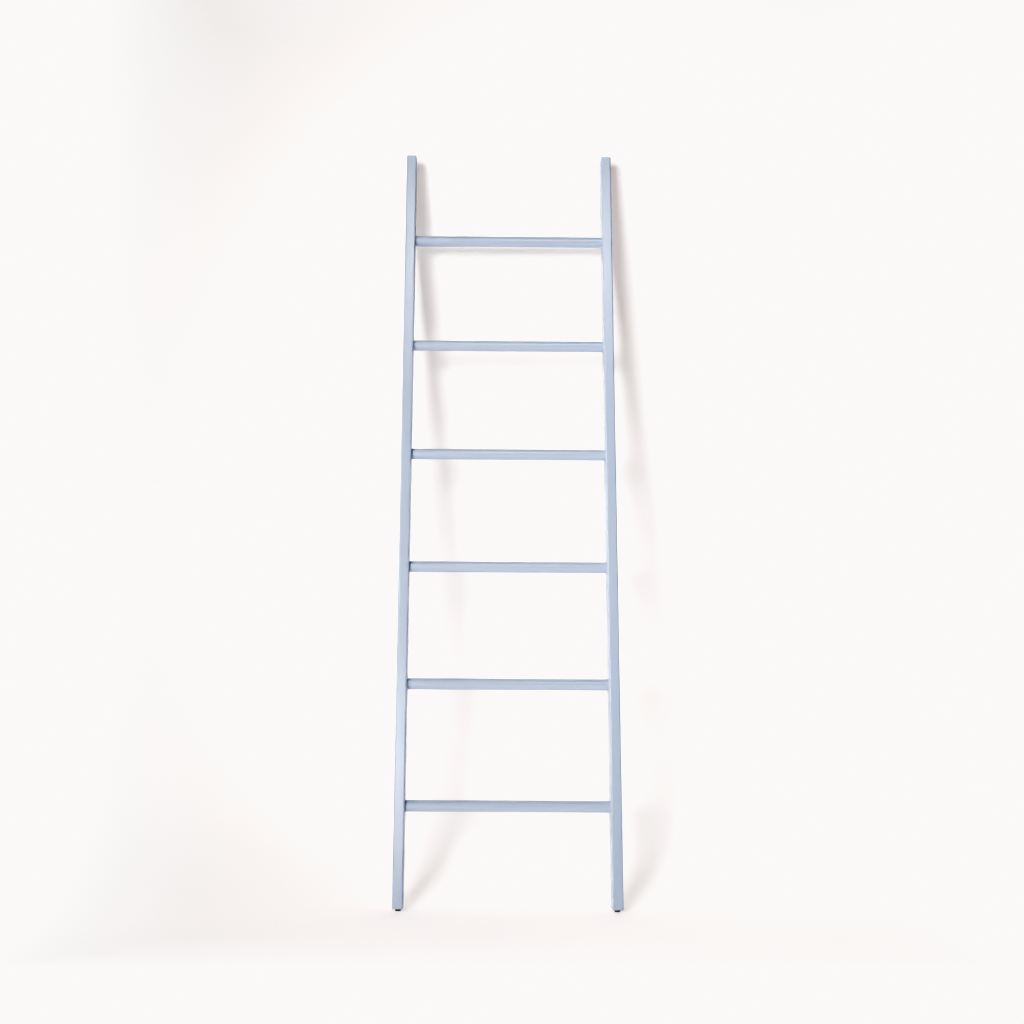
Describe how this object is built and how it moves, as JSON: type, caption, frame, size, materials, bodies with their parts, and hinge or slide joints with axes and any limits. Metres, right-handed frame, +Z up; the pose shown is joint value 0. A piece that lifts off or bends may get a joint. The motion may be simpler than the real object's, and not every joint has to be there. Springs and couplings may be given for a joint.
{
  "type": "leaning blanket ladder",
  "caption": "Painted wooden ladder that leans on a wall and holds blankets, quilts or towels over its round rungs.",
  "frame": {"origin": "on the floor, under the middle of the ladder's bounding box, with the ladder leaning as it is used", "axes": "+X to the right seen from the front, +Y towards the wall that the ladder leans on, +Z up; -Y is the front"},
  "size_m": [0.51, 0.433, 1.7686],
  "materials": {
    "painted_wood": "pale blue satin paint",
    "screw_steel": "zinc plated",
    "foot_rubber": "matt black"
  },
  "bodies": {
    "root": {"left_stile": "painted_wood", "right_stile": "painted_wood", "rung_1": "painted_wood", "rung_2": "painted_wood", "rung_3": "painted_wood", "rung_4": "painted_wood", "rung_5": "painted_wood", "rung_6": "painted_wood", "left_rung_screw_1": "screw_steel", "left_rung_screw_2": "screw_steel", "left_rung_screw_3": "screw_steel", "left_rung_screw_4": "screw_steel", "left_rung_screw_5": "screw_steel", "left_rung_screw_6": "screw_steel", "right_rung_screw_1": "screw_steel", "right_rung_screw_2": "screw_steel", "right_rung_screw_3": "screw_steel", "right_rung_screw_4": "screw_steel", "right_rung_screw_5": "screw_steel", "right_rung_screw_6": "screw_steel", "left_screw_plug_1": "painted_wood", "left_screw_plug_2": "painted_wood", "left_screw_plug_3": "painted_wood", "left_screw_plug_4": "painted_wood", "left_screw_plug_5": "painted_wood", "left_screw_plug_6": "painted_wood", "right_screw_plug_1": "painted_wood", "right_screw_plug_2": "painted_wood", "right_screw_plug_3": "painted_wood", "right_screw_plug_4": "painted_wood", "right_screw_plug_5": "painted_wood", "right_screw_plug_6": "painted_wood", "left_foot": "foot_rubber", "right_foot": "foot_rubber", "left_foot_washer": "screw_steel", "right_foot_washer": "screw_steel", "left_foot_screw": "screw_steel", "right_foot_screw": "screw_steel"}
  },
  "joints": []
}
